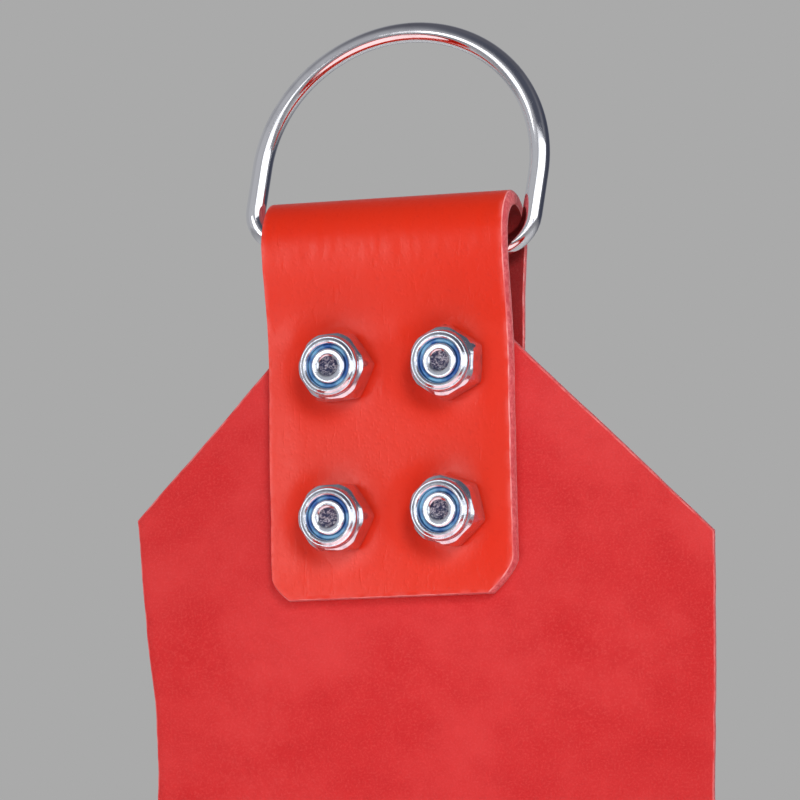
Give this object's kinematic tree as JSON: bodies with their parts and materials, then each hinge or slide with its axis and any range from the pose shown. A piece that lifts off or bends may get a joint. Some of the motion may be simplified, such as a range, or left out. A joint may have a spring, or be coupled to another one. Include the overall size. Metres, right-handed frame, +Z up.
{
  "type": "heavy punching bag",
  "caption": "Filled leather cylinder for punching practice, hung from steel D-rings in bolted leather straps on leather lugs, with a zipped top cover.",
  "frame": {"origin": "centre of the flat bottom face, on the floor", "axes": "+Z up along the bag; +Y towards the back lug, +X towards the right lug"},
  "size_m": [0.372, 0.372, 1.0886],
  "materials": {
    "grain_leather": "satin",
    "flesh_leather": "matte",
    "thread": "satin",
    "ring_chrome": "polished",
    "zinc_steel": "gloss",
    "nylon": "satin",
    "canvas": "matte",
    "foam": "matte",
    "rags": "matte",
    "zip_tape": "matte",
    "zip_metal": "satin"
  },
  "bodies": {
    "bag": {"shell_lower": "grain_leather", "shell_upper": "grain_leather", "base_panel": "grain_leather", "rim_band": "grain_leather", "foam_layer": "foam", "liner": "canvas", "filling": "rags", "cover_front": "grain_leather", "cover_back": "grain_leather", "zip_tapes": "zip_tape", "zip_teeth": "zip_metal", "zip_stops": "zip_metal", "lap_stitching": "thread", "side_stitching": "thread", "base_stitching": "thread", "rim_stitching": "thread", "cover_stitching": "thread", "foot_stitching": "thread", "lug_foot_back": "grain_leather", "lug_foot_right": "grain_leather", "lug_foot_front": "grain_leather", "lug_foot_left": "grain_leather"},
    "zip_slider": {"zip_slider": "zip_metal"},
    "zip_pull": {"zip_pull": "zip_metal"},
    "hanger_back": {"lug_back": "flesh_leather", "strap_back": "grain_leather", "bolts_back": "zinc_steel", "nuts_back": "zinc_steel", "nut_inserts_back": "nylon"},
    "ring_back": {"d_ring_back": "ring_chrome"},
    "hanger_right": {"lug_right": "flesh_leather", "strap_right": "grain_leather", "bolts_right": "zinc_steel", "nuts_right": "zinc_steel", "nut_inserts_right": "nylon"},
    "ring_right": {"d_ring_right": "ring_chrome"},
    "hanger_front": {"lug_front": "flesh_leather", "strap_front": "grain_leather", "bolts_front": "zinc_steel", "nuts_front": "zinc_steel", "nut_inserts_front": "nylon"},
    "ring_front": {"d_ring_front": "ring_chrome"},
    "hanger_left": {"lug_left": "flesh_leather", "strap_left": "grain_leather", "bolts_left": "zinc_steel", "nuts_left": "zinc_steel", "nut_inserts_left": "nylon"},
    "ring_left": {"d_ring_left": "ring_chrome"}
  },
  "joints": [
    {"name": "lug_back_flex", "type": "hinge", "parent": "bag", "child": "hanger_back", "pos_m": [0, 0.1766, 0.92], "axis": [1, 0, 0], "range_deg": [-45, 40], "stiffness_Nm_per_rad": 2},
    {"name": "d_ring_back_swing", "type": "hinge", "parent": "hanger_back", "child": "ring_back", "pos_m": [0, 0.1766, 1.0428], "axis": [0.9925, 0, -0.1219], "range_deg": [-140, 140]},
    {"name": "lug_right_flex", "type": "hinge", "parent": "bag", "child": "hanger_right", "pos_m": [0.1766, 0, 0.92], "axis": [0, -1, 0], "range_deg": [-45, 40], "stiffness_Nm_per_rad": 2},
    {"name": "d_ring_right_swing", "type": "hinge", "parent": "hanger_right", "child": "ring_right", "pos_m": [0.1766, 0, 1.0428], "axis": [0, -0.9976, 0.0698], "range_deg": [-140, 140]},
    {"name": "lug_front_flex", "type": "hinge", "parent": "bag", "child": "hanger_front", "pos_m": [0, -0.1766, 0.92], "axis": [-1, 0, 0], "range_deg": [-45, 40], "stiffness_Nm_per_rad": 2},
    {"name": "d_ring_front_swing", "type": "hinge", "parent": "hanger_front", "child": "ring_front", "pos_m": [0, -0.1766, 1.0428], "axis": [-0.9986, 0, -0.0523], "range_deg": [-140, 140]},
    {"name": "lug_left_flex", "type": "hinge", "parent": "bag", "child": "hanger_left", "pos_m": [-0.1766, 0, 0.92], "axis": [0, 1, 0], "range_deg": [-45, 40], "stiffness_Nm_per_rad": 2},
    {"name": "d_ring_left_swing", "type": "hinge", "parent": "hanger_left", "child": "ring_left", "pos_m": [-0.1766, 0, 1.0428], "axis": [0, 0.9945, 0.1045], "range_deg": [-140, 140]},
    {"name": "zip_travel", "type": "slide", "parent": "bag", "child": "zip_slider", "axis": [1, 0, 0], "range_m": [0, 0.216]},
    {"name": "zip_pull_flip", "type": "hinge", "parent": "zip_slider", "child": "zip_pull", "pos_m": [-0.108, 0, 0.871], "axis": [0, -1, 0], "range_deg": [0, 170]}
  ]
}
